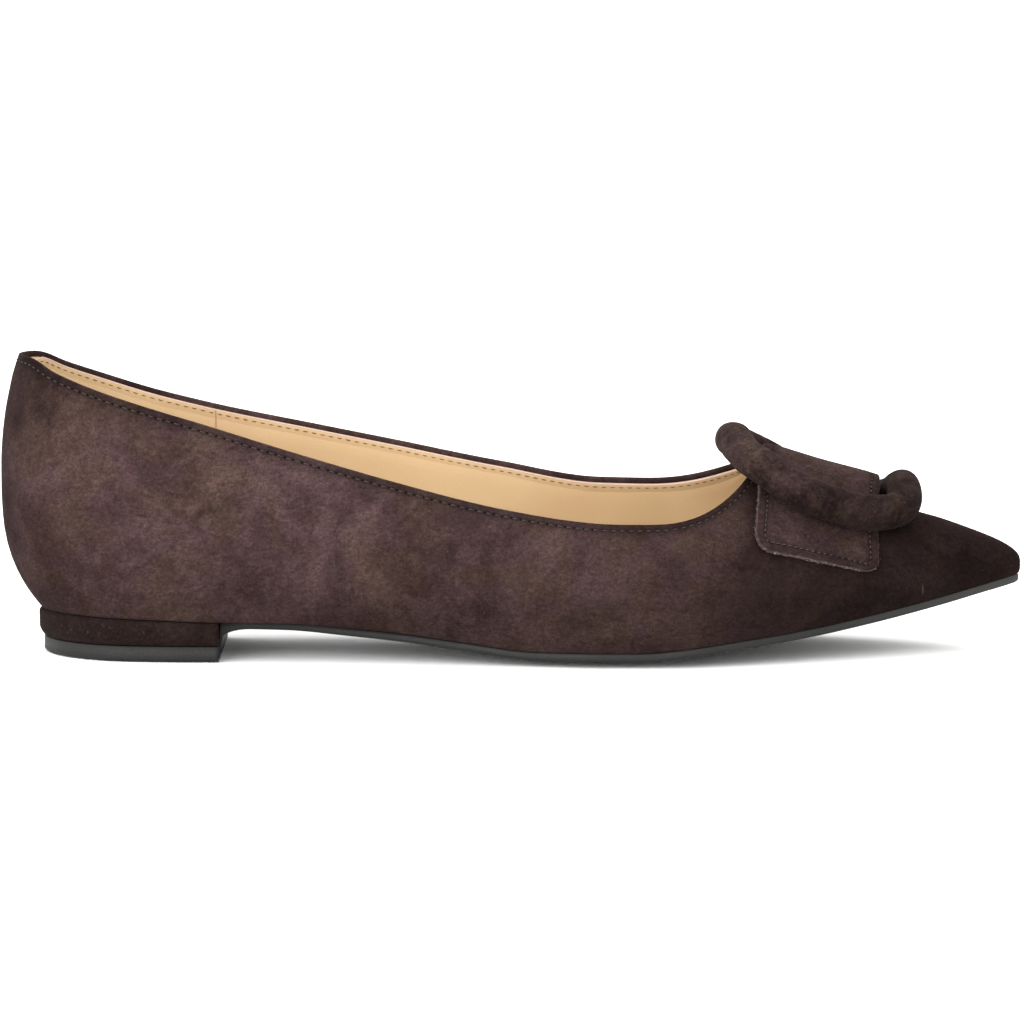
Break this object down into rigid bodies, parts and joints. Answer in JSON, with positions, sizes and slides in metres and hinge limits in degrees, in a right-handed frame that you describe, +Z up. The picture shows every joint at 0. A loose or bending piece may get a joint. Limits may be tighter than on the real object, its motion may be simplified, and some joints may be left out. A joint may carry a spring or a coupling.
{
  "type": "pointed toe flat shoe",
  "caption": "Pointed toe flat shoe for the right foot: suede upper open at the collar, leather insole, thin arched sole, low covered heel, and a covered ring with a strap across the vamp.",
  "frame": {"origin": "on the floor, under the middle of the shoe's own length and width", "axes": "+X from heel to toe, +Y towards the inner side of the foot, +Z up"},
  "size_m": [0.265, 0.0776, 0.0772],
  "materials": {
    "suede": "dark brown suede with a soft mottled nap",
    "lining_leather": "tan smooth leather, satin",
    "sole_rubber": "dark grey rubber, matte"
  },
  "bodies": {
    "root": {"upper": "suede", "insole": "lining_leather", "outsole": "sole_rubber", "heel": "suede", "top_piece": "sole_rubber", "buckle_ring": "suede", "buckle_strap": "suede"}
  },
  "joints": []
}
